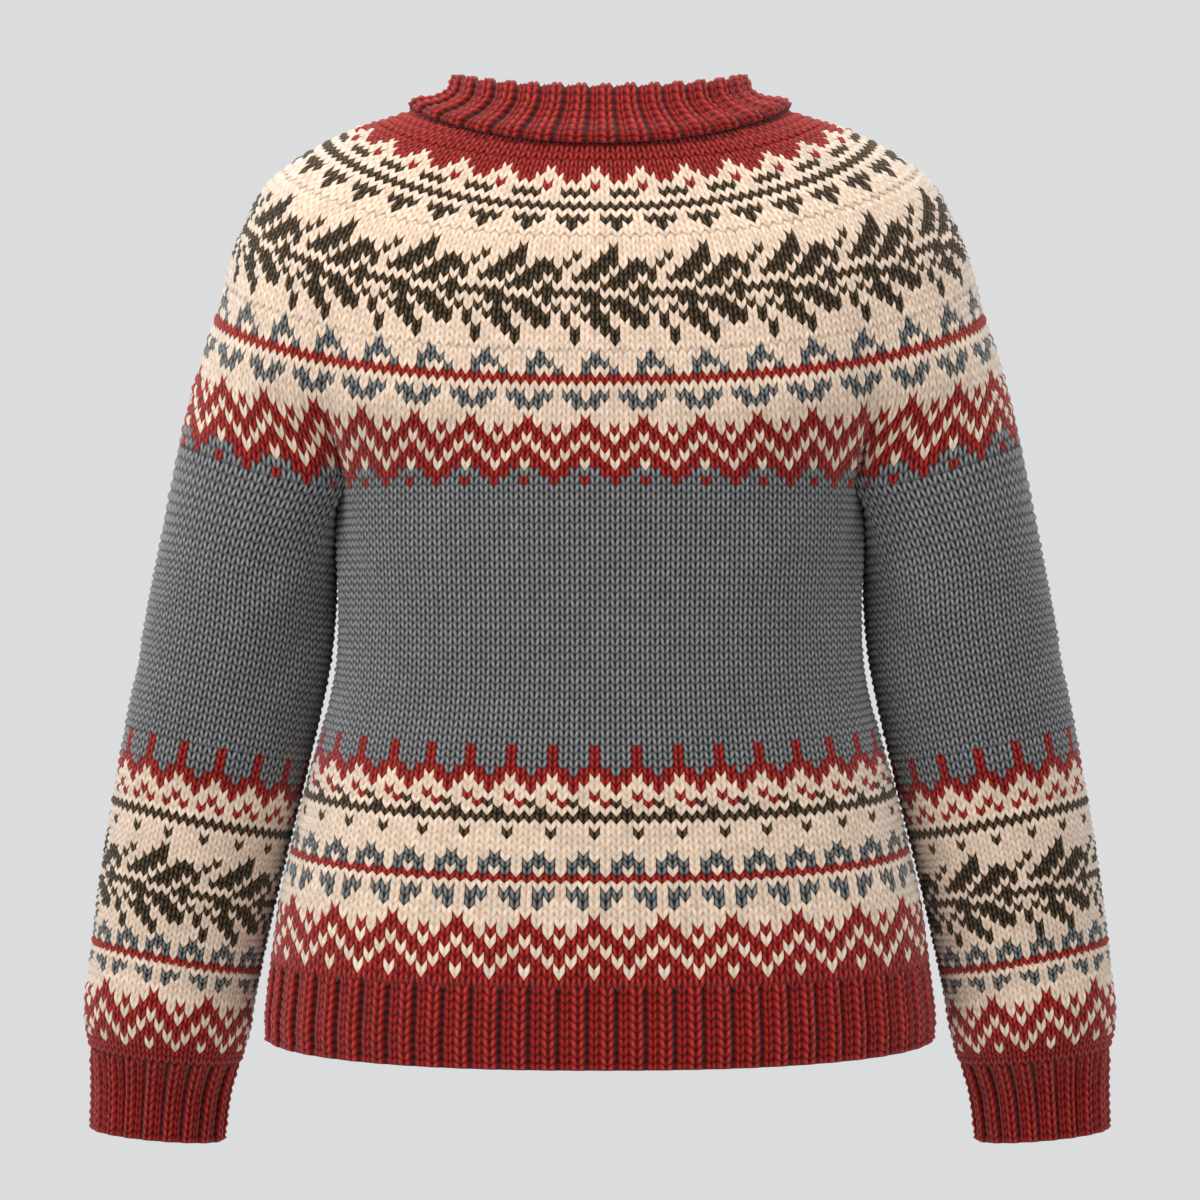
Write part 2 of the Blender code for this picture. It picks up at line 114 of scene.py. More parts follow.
yokeOvals = dict(
    backHeight=[-189, -169.7, -148, -117, -86.5, -61.8, -20, 0.6],
    sideHeight=[-146, -121.6, -93, -64, -33, -10.4, 6.5, 16.5],
    halfWidth=[256, 247.7, 240, 229.5, 210.6, 176, 129.4, 97.5],
    back=[119, 119, 117.5, 113.5, 105, 93, 73, 60],
    front=[121, 119, 116, 110, 102, 94, 81, 72],
    crease=[11, 6, 2, 0, 0, 0, 0, 0],
)
sleeveOvals = dict(
    x=[227.5, 234.5, 250.3, 267, 280.8, 284.4, 285.2],
    y=[-1, -4, -9, -15, -21, -23, -24],
    z=[-276, -328, -406, -484, -562, -588, -603],
    halfWidth=[57, 60.5, 59.8, 57.2, 54, 53, 49.5],
    halfDepth=[62, 60.5, 56.5, 53, 48.5, 47, 42],
    lean=[11.3, 11.3, 11.3, 11, 9.5, 7.5, 6.5],
)
cuffOvals = dict(
    x=[285.3, 287.9, 291.2],
    y=[-24.1, -26.3, -29],
    z=[-604, -622, -659.5],
    halfWidth=[48.5, 45.5, 43],
    halfDepth=[40, 33, 30],
    lean=[6.5, 6.1, 5.5],
)
sleeveTopSizes = dict(outer=271 * mm, depth=64 * mm, rise=30 * mm, curve=1.6)
stitchCounts = dict(back=60, front=27, underarm=15, overArm=48)
bodyStitches = stitchCounts["back"] + 2 * (stitchCounts["front"] + stitchCounts["underarm"])
yokeStitches = stitchCounts["back"] + 2 * (stitchCounts["front"] + stitchCounts["overArm"])
sleeveStitches = stitchCounts["underarm"] + stitchCounts["overArm"]


def through(knots, values, at):
    # Smooth curve through the values at the knots, read at several places
    knots, values, at = np.asarray(knots, float), np.asarray(values, float), np.atleast_1d(at)
    rest = (1,) * (values.ndim - 1)
    step = np.diff(knots)
    slope = np.diff(values, axis=0) / step.reshape((-1,) + rest)
    near, far = step[:-1].reshape((-1,) + rest), step[1:].reshape((-1,) + rest)
    middle = (slope[1:] * near + slope[:-1] * far) / (near + far)
    lean = np.concatenate([slope[:1], middle, slope[-1:]])
    i = np.clip(np.searchsorted(knots, at, "right") - 1, 0, len(step) - 1)
    h = step[i].reshape((-1,) + rest)
    u = ((at - knots[i]) / step[i]).reshape((-1,) + rest)
    start = values[i] * (2 * u**3 - 3 * u**2 + 1) + lean[i] * h * (u**3 - 2 * u**2 + u)
    return start + values[i + 1] * (3 * u**2 - 2 * u**3) + lean[i + 1] * h * (u**3 - u**2)


def oval(turn, halfWidth, back, front, backHeight, sideHeight, frontHeight):
    # Turn 0 is the centre back, a half turn the centre front
    s, c = np.sin(turn), np.cos(turn)
    x = halfWidth * np.sign(s) * np.abs(s) ** (2 / garment["roundness"])
    y = np.where(c >= 0, back, -front) * np.abs(c) ** (2 / garment["roundness"])
    endHeight = np.where(c >= 0, backHeight, frontHeight)
    z = sideHeight + np.abs(c) ** garment["saddle"] * (endHeight - sideHeight)
    return np.stack([x, y, z], axis=1)


def frontTurn(x, halfWidth):
    turn = math.pi - math.asin((abs(x) / halfWidth) ** (garment["roundness"] / 2))
    return math.copysign(turn, x)


def along(points, shares):
    # Points at shares of a line's length, -0.5 and 0.5 at its ends
    steps = np.linalg.norm(np.diff(points, axis=0), axis=1)
    run = np.concatenate([[0], np.cumsum(steps)])
    run = run / run[-1] - 0.5
    return np.stack([np.interp(shares, run, points[:, k]) for k in range(3)], axis=1)


def ringOf(sizes, shares, edge=garment["bandHalf"]):
    end = frontTurn(edge, sizes[0])
    return along(oval(np.linspace(-end, end, garment["lineSteps"]["ring"]), *sizes), shares)


def bodySizes(height):
    knots = np.array(bodyOvals["height"]) * mm
    width, back, front, rise = (
        through(knots, np.array(bodyOvals[k]) * mm, height)[0]
        for k in ("halfWidth", "back", "front", "rise")
    )
    return width, back, front, height, height + rise, height


def yokeSizes(i):
    width, back, front, backHeight, sideHeight = (
        yokeOvals[k][i] * mm
        for k in ("halfWidth", "back", "front", "backHeight", "sideHeight")
    )
    frontHeight = garment["underarm"] + (backHeight - garment["underarm"]) * garment["frontDrop"]
    return width, back, front, backHeight, sideHeight, frontHeight


def yokeLevel(height):
    # Share of the yoke's height at the centre back
    return (np.asarray(height) - garment["underarm"]) / (garment["yokeTop"] - garment["underarm"])


def overArm(crease, shares):
    # The sleeve's top edge from its outermost point, share 0, to a crease, share 1
    outer, depth = sleeveTopSizes["outer"], sleeveTopSizes["depth"]
    power = 2 / garment["roundness"]
    start = math.acos(min(1, abs(crease[1]) / depth) ** (1 / power))
    halfWidth = (outer - crease[0]) / (1 + math.sin(start) ** power)
    turn = np.linspace(math.pi / 2, -start, garment["lineSteps"]["arm"])
    x = outer - halfWidth + halfWidth * np.sign(np.sin(turn)) * np.abs(np.sin(turn)) ** power
    y = math.copysign(depth, crease[1]) * np.abs(np.cos(turn)) ** power
    out = (x - crease[0]) / (outer - crease[0])
    z = garment["underarm"] + sleeveTopSizes["rise"] * np.maximum(0, out) ** sleeveTopSizes["curve"]
    return along(np.stack([x, y, z], axis=1), np.asarray(shares) - 0.5)


def creaseShares():
    behind = stitchCounts["back"] / 2 / bodyStitches
    return behind, behind + stitchCounts["underarm"] / bodyStitches


def sleeveTop(shares):
    # Over the arm the edge carries the yoke, under it the body's side
    behind, before = creaseShares()
    body = bodySizes(garment["underarm"])
    creases = ringOf(body, [behind, before])
    over = stitchCounts["overArm"] / 2 / sleeveStitches
    shares = (np.atleast_1d(shares) + 0.5) % 1 - 0.5
    points = np.zeros((len(shares), 3))
    for side, mask in ((0, shares > 0), (1, shares <= 0)):
        top = mask & (np.abs(shares) <= over)
        points[top] = overArm(creases[side], np.abs(shares[top]) / over)
        under = mask & (np.abs(shares) > over)
        inward = (np.abs(shares[under]) - over) / (0.5 - over) / 2
        places = behind + (before - behind) * (inward if side == 0 else 1 - inward)
        points[under] = ringOf(body, places) + [garment["seam"], 0, 0]
    return points


def sleeveOval(section, i, shares):
    turn = np.linspace(-math.pi, math.pi, garment["lineSteps"]["sleeve"])
    wide = section["halfWidth"][i] * np.cos(turn)
    deep = section["halfDepth"][i] * np.sin(turn)
    lean = math.radians(section["lean"][i])
    x = section["x"][i] + wide * math.cos(lean)
    z = section["z"][i] + wide * math.sin(lean)
    points = np.stack([x, section["y"][i] + deep, z], axis=1) * mm
    return along(points, (shares + 0.5) % 1 - 0.5)


def dividingRing(shares, below=0.0):
    # The yoke's lowest ring, across back and fronts and over both arms
    behind, before = creaseShares()
    body = bodySizes(garment["underarm"] - below)
    shares = np.atleast_1d(shares)
    n = np.abs(shares) * yokeStitches
    fromArm = n - stitchCounts["back"] / 2
    inFront = before + (fromArm - stitchCounts["overArm"]) / bodyStitches
    places = np.where(fromArm <= 0, n / bodyStitches, inFront)
    points = ringOf(body, places)
    arm = (fromArm > 0) & (fromArm < stitchCounts["overArm"])
    roundArm = (stitchCounts["overArm"] / 2 - fromArm[arm]) / sleeveStitches
    points[arm] = sleeveOval(sleeveOvals, 0, roundArm) if below else sleeveTop(roundArm)
    return points * np.where(shares >= 0, 1, -1)[:, None] ** [1, 0, 0]


def yokePoints(shares, levels):
    shares = np.asarray(shares)
    rings = [dividingRing(shares, garment["below"]), dividingRing(shares)]
    stitch = np.abs(shares) * yokeStitches
    arm = stitchCounts["back"] / 2
    for i, depth in enumerate(yokeOvals["crease"]):
        points = ringOf(yokeSizes(i), shares)
        for middle, side in ((arm, -1), (arm + stitchCounts["overArm"], 1)):
            fold = np.exp(-(((stitch - middle) / garment["creaseWidth"]) ** 2))
            points[:, 1] += side * depth * mm * fold
        rings.append(points)
    start = yokeLevel([garment["underarm"] - garment["below"], garment["underarm"]])
    knots = np.concatenate([start, yokeLevel(np.array(yokeOvals["backHeight"]) * mm)])
    return through(knots, np.array(rings), levels)


def bodyPoints(shares, heights):
    return np.array([ringOf(bodySizes(height), shares) for height in heights])


def sleevePoints(shares, heights):
    count = len(sleeveOvals["z"])
    rings = [sleeveTop(shares)] + [sleeveOval(sleeveOvals, i, shares) for i in range(count)]
    knots = [garment["underarm"] / mm] + sleeveOvals["z"]
    return through(np.array(knots[::-1]) * mm, np.array(rings[::-1]), heights)


def cuffPoints(shares, heights):
    rings = [sleeveOval(cuffOvals, i, shares) for i in range(len(cuffOvals["z"]))]
    return through(np.array(cuffOvals["z"][::-1]) * mm, np.array(rings[::-1]), heights)


def frontPoints(places, xs):
    # Down the centre front at distances x, place 0 at the hem and 1 at the neck
    sizes = [bodySizes(height * mm) for height in bodyOvals["height"]]
    sizes += [yokeSizes(i) for i in range(len(yokeOvals["crease"]))]
    columns = []
    for x in xs:
        turns = [frontTurn(x, size[0]) for size in sizes]
        points = np.array([oval(np.array([t]), *size)[0] for t, size in zip(turns, sizes)])
        steps = np.linalg.norm(np.diff(points, axis=0), axis=1)
        run = np.concatenate([[0], np.cumsum(steps)]) / steps.sum()
        columns.append(through(run, points, places))
    return np.stack(columns)


# How vertices lie across one knit stitch, and across one rib: a knit stitch, a purl one and the furrow.
# inStitch counts the same columns in stitches, drop is a leg's slant, plump and lift its relief
knitStitch = dict(
    stitches=1,
    places=np.arange(6) / 6,
    inStitch=np.arange(6) / 6,
    drop=np.array([0, 1, 2, 3, 2, 1]) / 3,  # a leg slants down to the stitch's middle
    plump=np.array([0.2, 0.9, 0.95, 0.15, 0.95, 0.9]),
    lift=np.zeros(6),
)
ribStitch = dict(
    stitches=2,  # one knit, one purl
    places=np.concatenate([np.arange(6) / 12, [0.54, 0.62, 0.70, 0.78, 0.86, 0.93]]),
    inStitch=np.concatenate([np.arange(6) / 6, 1 + np.array([0, 0.25, 0.5, 0.75, 0.88, 0.95])]),
    drop=np.concatenate([knitStitch["drop"], [0.0, 0.3, 0.6, 0.3, 0.0, 0.0]]),
    plump=np.array([0.2, 0.95, 1, 0.1, 1, 0.95, 0.3, 0.95, 0.35, 0.95, 0.3, 0.1]),
    lift=np.array([-1.0, 0.6, 1.1, 0.1, 1.1, 0.6, -1.1, -1.0, -1.1, -1.1, -1.7, -2.7]),
)
knitting = dict(
    lean=0.78,  # rows by which a leg drops
    plump=1.7 * mm,
    ribPlump=1.3 * mm,
    ribLift=0.9 * mm,
    castOff=1.5,  # how much plumper the edge of a rib is
    castOffLift=0.4,
    fade=1.5,  # rows over which slant or lift is lost at an edge
    uneven=0.16,  # share by which one stitch's plumpness differs from the next
    overlap=0.1 * mm,  # how far a strip's lowest row stands over the strip beneath
    tuck=0.35 * mm,  # how far its extra top row goes under the strip above
    thinnest=0.3 * mm,
    innerEvery=6,  # the plain inside has one column for so many outside
)


# Soft folds and hollows, in mm: both ends round the piece and up, how high, how wide
handFolds = dict(
    body=[
        (-205, -246, -150, -330, -2.6, 13), (-212, -262, -186, -372, 2.2, 12),
        (-150, -250, -96, -300, 1.4, 16), (206, -244, 158, -318, -2.4, 12),
        (212, -266, 190, -352, 2.0, 11), (148, -252, 110, -290, 1.2, 15),
        (-120, -380, -60, -402, -1.0, 18), (40, -352, 118, -374, -1.1, 17),
        (-30, -430, 30, -425, 0.9, 22), (96, -470, 150, -446, 1.0, 16),
        (-160, -476, -100, -462, -0.9, 15),
    ],
    sleeve=[
        (150, -262, 96, -322, 2.4, 12), (158, -300, 120, -352, -2.6, 11),
        (128, -398, 60, -420, 1.6, 13), (120, -424, 52, -446, -1.8, 11),
        (30, -352, -30, -372, -1.1, 16), (110, -520, 60, -540, -1.3, 12),
        (84, -566, 20, -574, 1.3, 12), (-90, -330, -150, -300, 1.6, 14),
        (-70, -430, -130, -448, -1.6, 12),
    ],
    yoke=[
        (-190, -236, -184, -166, -3.4, 7), (190, -236, 184, -168, -3.1, 7),
        (-176, -222, -168, -170, 1.6, 10), (176, -224, 170, -172, 1.5, 10),
        (-204, -226, -206, -180, 1.4, 9), (204, -228, 207, -182, 1.3, 9),
    ],
)
foldGirths = dict(body=0.93, sleeve=0.36, yoke=1.3)
foldEnds = 0.55  # share of a fold's height that is left at its ends


def foldsOf(name, start=0.0, tall=1.0):
    # Height of the listed folds at shares of a girth and at places up a piece
    def height(shares, places):
        x, z = shares[None, :] * foldGirths[name], (start + np.asarray(places) * tall)[:, None]
        total = np.zeros((len(places), len(shares)))
        for fold in handFolds[name]:
            x0, z0, x1, z1, high, wide = np.array(fold) * mm
            run = ((x - x0) * (x1 - x0) + (z - z0) * (z1 - z0)) / ((x1 - x0) ** 2 + (z1 - z0) ** 2)
            held = np.clip(run, 0, 1)
            away = (x - x0 - held * (x1 - x0)) ** 2 + (z - z0 - held * (z1 - z0)) ** 2
            arch = foldEnds + (1 - foldEnds) * np.sin(math.pi * held)
            total += high * np.exp(-away / wide**2) * arch
        return total
    return height


def rowShares(rows, overhang, tuck):
    # How much of its slant a stitch has at each half row
    r = np.arange(2 * rows + 1) / 2
    slant = np.ones(len(r))
    if not overhang:
        slant = np.minimum(slant, r / knitting["fade"])
    if tuck:
        return np.concatenate([r, [rows + 0.5, rows + 1]]), np.concatenate([slant, [0.5, 0]])
    return r, np.minimum(slant, (rows - r) / knitting["fade"])


def reliefOf(r, rows, column, uColumn, stitch, overhang, tuck):
    # How far each vertex outside stands out, from the stitches' shape and their unevenness
    ribbed = stitch is ribStitch
    odd = (np.arange(len(r)) % 2)[:, None]
    plump = knitting["ribPlump" if ribbed else "plump"] * np.where(r > rows, 0, 1)[:, None]
    varied = 1 + knitting["uneven"] * dice.standard_normal((rows + 1, int(uColumn[-1]) + 2))
    relief = odd * plump * stitch["plump"][column][None, :]
    relief = relief * varied[np.minimum(r.astype(int), rows)[:, None], uColumn.astype(int)[None, :]]
    lift = knitting["ribLift"] * stitch["lift"][column][None, :]
    if ribbed and not overhang:
        relief = relief * np.where(r < 1, knitting["castOff"], 1)[:, None]
        lift = lift * np.where(r < 1, knitting["castOffLift"], 1)[:, None]
    if ribbed and tuck:
        lift = lift * np.clip((rows + 0.2 - r) / knitting["fade"], 0, 1)[:, None]
    relief = relief + lift
    if overhang:
        relief = relief + knitting["overlap"] * np.clip(1 - r, 0, 1)[:, None]
    if tuck:
        relief = relief - knitting["tuck"] * np.clip(r - rows, 0, 0.5)[:, None] * 2
    return relief


def shellFaces(tall, wide, innerRows, innerColumns, stitchOf, rows, closed):
    # Faces of a strip's outside, inside and rims, each with the row and the stitch that it belongs to
    spans = wide if closed else wide - 1
    j, c = np.meshgrid(np.arange(tall - 1), np.arange(spans), indexing="ij")
    d = (c + 1) % wide
    outside = np.stack([j * wide + c, (j + 1) * wide + c, (j + 1) * wide + d, j * wide + d], axis=-1)
    outsideOwners = np.stack([np.minimum(j // 2, rows - 1), stitchOf[c]], axis=-1).reshape(-1, 2)

    nIn, first = len(innerColumns), tall * wide
    inSpans = nIn if closed else nIn - 1
    m, s = np.meshgrid(np.arange(len(innerRows) - 1), np.arange(inSpans), indexing="ij")
    e = (s + 1) % nIn
    inside = first + np.stack([m * nIn + s, m * nIn + e, (m + 1) * nIn + e, (m + 1) * nIn + s], axis=-1)
    insideOwners = np.stack([innerRows[m], stitchOf[innerColumns[s]]], axis=-1).reshape(-1, 2)

    rims, rimOwners = [], []
    for row, inRow in ((0, 0), (tall - 1, len(innerRows) - 1)):
        for span in range(inSpans):
            stop = wide if closed and span == nIn - 1 else innerColumns[(span + 1) % nIn]
            walk = [row * wide + n % wide for n in range(innerColumns[span], stop + 1)]
            ends = [first + inRow * nIn + (span + 1) % nIn, first + inRow * nIn + span]
            rims.append((walk + ends) if row == 0 else (walk + ends)[::-1])
            rimOwners.append((0 if row == 0 else rows - 1, stitchOf[innerColumns[span]]))
    for col, inCol in () if closed else ((0, 0), (wide - 1, nIn - 1)):
        for span in range(len(innerRows) - 1):
            stop = tall - 1 if span == len(innerRows) - 2 else 2 * innerRows[span + 1]
            walk = [n * wide + col for n in range(2 * innerRows[span], stop + 1)]
            ends = [first + (span + 1) * nIn + inCol, first + span * nIn + inCol]
            rims.append((walk + ends)[::-1] if col == 0 else walk + ends)
            rimOwners.append((innerRows[span], stitchOf[col]))
    faces = outside.reshape(-1, 4).tolist() + inside.reshape(-1, 4).tolist() + rims
    return faces, [outsideOwners, insideOwners, np.array(rimOwners)]


def knitStrip(surface, start, end, units, edges, colours, turn, stitch=knitStitch, closed=False,
              overhang=True, tuck=True, wall=garment["wall"], soft=None):
    # One closed shell of stitches: relief outside, plain inside. Turn is 1 or -1, so that relief faces out
    per, rows = len(stitch["places"]), len(edges) - 1
    unit = np.repeat(np.arange(units), per)
    column = np.tile(np.arange(per), units)
    across = unit + stitch["places"][column]
    uColumn = stitch["stitches"] * unit + stitch["inStitch"][column]
    if not closed:
        across, column = np.append(across, units), np.append(column, 0)
        uColumn = np.append(uColumn, units * stitch["stitches"])
    shares = start + (end - start) * across / units
    columns = len(shares)

    r, slant = rowShares(rows, overhang, tuck)
    low, high = edges[1] - edges[0], edges[-1] - edges[-2]
    knots = np.concatenate([[-2], np.arange(rows + 1), [rows + 2]])
    places = np.concatenate([[edges[0] - 2 * low], edges, [edges[-1] + 2 * high]])
    gridRows = np.arange(-3, 2 * rows + 5) / 2
    base = surface(shares, np.interp(gridRows, knots, places))
    if closed:
        sideways = np.roll(base, -1, axis=1) - np.roll(base, 1, axis=1)
    else:
        sideways = np.gradient(base, axis=1)
    normals = np.cross(np.gradient(base, axis=0), sideways) * turn
    normals /= np.linalg.norm(normals, axis=2, keepdims=True)
    if soft is not None:
        base = base + normals * soft(shares, np.interp(gridRows, knots, places))[:, :, None]

    def at(v, k):
        g = np.clip((v - gridRows[0]) * 2, 0, len(gridRows) - 1.001)
        i = g.astype(int)
        t = (g - i)[..., None]
        point = base[i, k] * (1 - t) + base[i + 1, k] * t
        return point, normals[i, k] * (1 - t) + normals[i + 1, k] * t

    k = np.arange(columns)[None, :].repeat(len(r), axis=0)
    v = r[:, None] - knitting["lean"] * stitch["drop"][column][None, :] * slant[:, None]
    point, normal = at(v, k)
    relief = reliefOf(r, rows, column, uColumn, stitch, overhang, tuck)
    outer = point + normal * np.maximum(relief, knitting["thinnest"] - wall)[:, :, None]

    innerRows = np.unique(np.round(np.linspace(0, rows, max(2, rows // 4 + 1))).astype(int))
    innerColumns = np.arange(0, columns, knitting["innerEvery"])
    kIn = innerColumns[None, :].repeat(len(innerRows), axis=0)
    point, normal = at(innerRows[:, None] + 0 * kIn.astype(float), kIn)
    inner = point - normal * wall

    tall = len(r)
    faces, owners = shellFaces(tall, columns, innerRows, innerColumns, uColumn.astype(int), rows, closed)
    owner = np.concatenate(owners)
    tint = colours[np.minimum(owner[:, 0], rows - 1), np.minimum(owner[:, 1], colours.shape[1] - 1)]
    # Inside, the yarns of a row run on as mixed floats
    inside = slice(len(owners[0]), len(owners[0]) + len(owners[1]))
    tint[inside] = colours.mean(axis=1)[np.minimum(owner[inside, 0], rows - 1)]
    verts = np.concatenate([outer.reshape(-1, 3), inner.reshape(-1, 3)])
    uv = np.concatenate([
        np.stack(np.broadcast_arrays(uColumn[None, :], r[:, None]), -1).reshape(-1, 2),
        np.stack([uColumn[kIn], innerRows[:, None] + 0.0 * kIn], -1).reshape(-1, 2),
    ])
    return dict(verts=verts, faces=faces, tint=tint, uv=uv, around=units * stitch["stitches"])


def knitPiece(name, strips, material):
    # One mesh of one or more shells, with the yarn's colour and the stitch's place on each face
    verts, faces, tints, loopUv, count = [], [], [], [], 0
    for strip in strips:
        sizes = np.array([len(face) for face in strip["faces"]])
        loops = np.concatenate([np.array(face) for face in strip["faces"]])
        uv = strip["uv"][loops]
        starts = np.concatenate([[0], np.cumsum(sizes)[:-1]])
        widest = np.repeat(np.maximum.reduceat(uv[:, 0], starts), sizes)
        uv[:, 0] += np.where(widest - uv[:, 0] > strip["around"] / 2, strip["around"], 0)
        loopUv.append(uv)
        tints.append(np.repeat(strip["tint"], sizes, axis=0))
        verts.append(strip["verts"])
        faces += [[n + count for n in face] for face in strip["faces"]]
        count += len(strip["verts"])
    mesh = bpy.data.meshes.new(name)
    mesh.from_pydata(np.concatenate(verts).tolist(), [], faces)
    knit = mesh.uv_layers.new(name="knit")
    knit.data.foreach_set("uv", np.concatenate(loopUv).ravel())
    tint = np.concatenate(tints)
    yarn = mesh.color_attributes.new("yarn", "FLOAT_COLOR", "CORNER")
    yarn.data.foreach_set("color", np.concatenate([tint, np.ones((len(tint), 1))], axis=1).ravel())
    shaped = bmesh.new()
    shaped.from_mesh(mesh)
    bmesh.ops.recalc_face_normals(shaped, faces=shaped.faces)
    shaped.to_mesh(mesh)
    shaped.free()
    mesh.shade_smooth()
    mesh.materials.append(material)
    made = bpy.data.objects.new(name, mesh)
    bpy.context.scene.collection.objects.link(made)
    print("knitted", name, len(mesh.polygons), "faces")
    return made


def mirrorPiece(made, name):
    # The wearer's other side, from a finished piece
    other = made.copy()
    other.name = name
    other.data = made.data.copy()
    other.data.transform(Matrix.Scale(-1, 4, (1, 0, 0)))
    other.data.flip_normals()
    bpy.context.scene.collection.objects.link(other)
    return other


def colourRows(chart, stitches):
    # Yarn of every stitch, bottom row first
    colours = []
    for _, origin, patterns in chart:
        for pattern in patterns:
            cells = (np.arange(stitches) - stitches // 2 - origin) % len(pattern)
            colours.append([yarns[pattern[cell]] for cell in cells])
    return np.array(colours[::-1])


def rowEdges(top, chart):
    edges = [top]
    for bottom, _, patterns in chart:
        edges += list(np.linspace(edges[-1], bottom, len(patterns) + 1)[1:])
    return np.array(edges[::-1]) * mm


# Charts are read downwards. Each group has its lowest edge's height, its origin and its rows, which
# repeat round the piece. The origin is counted in stitches from the centre
zigzag = ["cccrcc", "rcrrrc", "crrcrr", "rrcrcr", "rcrrrc", "crrcrr"]
zigzagGrey = ["rrgggr", "rggrgg"]
hearts = ["cbbcbb", "ccbbbc"]
smallHearts = ["cbbcbb", "ccbcbc"]
triangles = ["bccc", "bbcb", "cbcb"]
wideTriangles = ["bccccc", "bbcccb", "cbccbc"]
vines = [
    "ccccccoccc", "ccoccooccc", "coccooocoo", "occooocooo", "ocooocoooc", "cccccoooco", "ooooocccoo",
    "cccoooooco", "ocococoooc", "cocooocooo", "coccooccoo", "ccoccooccc", "ccocccoccc",
]
garland = [row[::-1] for row in vines]  # for pieces whose stitches run the other way

bodyChart = [
    (-396, 0, ["g"] * 34),
    (-414.4, 0, ["rggg"] * 3 + ["rrgr"]),
    (-430.3, 0, ["crrr", "ccrc", "rccc"]),
    (-438.3, 0, ["ccor", "cocc"]),
    (-443.3, 0, ["o"]),
    (-447.8, 0, ["c"]),
    (-452.8, 0, ["occc"]),
    (-462.8, 0, ["c", "c"]),
    (-476, 1, triangles),
    (-481, 0, ["r"]),
    (-484.5, 0, ["c"]),
    (-497, -3, smallHearts),
    (-501.5, 0, ["c"]),
    (-538.1, -3, zigzag),
    (-545, 0, ["r"]),
]
yokeStrips = dict(
    lowest=(210, [
        (-153.1, 0, []),
        (-167.0, 0, wideTriangles),
        (-172.3, 0, ["r"]),
        (-192.9, -2, ["c"] + hearts + ["c"]),
        (-234.7, -2, zigzag + zigzagGrey),
    ]),
    garland=(190, [
        (-80.4, 0, []),
        (-85.6, 0, ["c"]),
        (-147.3, -5, garland),
        (-153.1, 0, ["c"]),
    ]),
    neck=(140, [
        (-30.2, 0, []),
        (-34.9, 0, ["r"]),
        (-44.3, 0, ["crrrr", "ccrrc"]),
        (-49.6, 0, ["rcccc"]),
        (-54.3, 0, ["coooc"]),
        (-58.6, 0, ["c"]),
        (-63, 0, ["o"]),
        (-66.8, 0, ["c"]),
        (-75.6, 0, ["cooo", "ccoc"]),
        (-80.4, 0, ["c"]),
    ]),
    top=(110, [
        (0.6, 0, []),
        (-30.2, 0, ["r"] * 6),
    ]),
)
sleeveStrips = [
    (54, [
        (-540, 0, []),
        (-557, -3, ["c"] + smallHearts + ["c"]),
        (-595, -3, zigzag),
        (-603.6, 0, ["r", "r"]),
    ]),
    (60, [
        (-399, 0, []),
        (-419.5, 0, ["rggg"] * 3 + ["rrgr"]),
        (-435.5, 0, ["crrr", "ccrc", "rccc"]),
        (-440.5, 0, ["crcr"]),
        (-444.5, 0, ["c"]),
        (-449.8, 0, ["o"]),
        (-464.6, 0, ["c", "occc", "c"]),
        (-522, -4, garland),
        (-535, 1, triangles),
        (-540, 0, ["r"]),
    ]),
    (63, [
        (-234.7, 0, []),
        (-399, 0, ["g"] * 34),
    ]),
]


def link(tree, out, into):
    tree.links.new(out, into)


def maths(tree, operation, first, second=None, third=None):
    made = tree.nodes.new("ShaderNodeMath")
    made.operation = operation
    for socket, value in zip(made.inputs, (first, second, third)):
        if value is None:
            continue
        if isinstance(value, (int, float)):
            socket.default_value = value
        else:
            link(tree, value, socket)
    return made.outputs[0]


def noise(tree, vector, scale, detail):
    made = tree.nodes.new("ShaderNodeTexNoise")
    made.inputs["Scale"].default_value = scale
    made.inputs["Detail"].default_value = detail
    link(tree, vector, made.inputs["Vector"])
    return made.outputs["Fac"]


def scaled(tree, vector, factors):
    made = tree.nodes.new("ShaderNodeMapping")
    made.inputs["Scale"].default_value = factors
    link(tree, vector, made.inputs["Vector"])
    return made.outputs["Vector"]


def fromHalf(tree, value, factor):
    distance = maths(tree, "ABSOLUTE", maths(tree, "SUBTRACT", value, 0.5))
    return maths(tree, "MULTIPLY", distance, factor)


